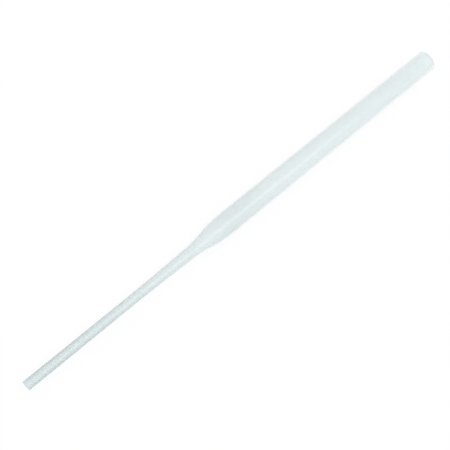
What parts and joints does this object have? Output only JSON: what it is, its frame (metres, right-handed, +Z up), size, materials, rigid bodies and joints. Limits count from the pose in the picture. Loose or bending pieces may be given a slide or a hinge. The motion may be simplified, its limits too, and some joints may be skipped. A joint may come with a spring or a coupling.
{
  "type": "dropper pipette",
  "caption": "Translucent plastic dropper pipette: a narrow stem that flares into a wider barrel, one moulded tube open at both ends, with no teat fitted.",
  "frame": {"origin": "under the middle of the pipette's length, on the surface that its barrel rests on", "axes": "+X along the tube's axis, from the cut tip of the stem to the open mouth of the barrel; +Z up, with the pipette lying on its barrel"},
  "size_m": [0.15, 0.0064, 0.0064],
  "materials": {
    "translucent_plastic": "satin"
  },
  "bodies": {
    "root": {"pipette": "translucent_plastic"}
  },
  "joints": []
}
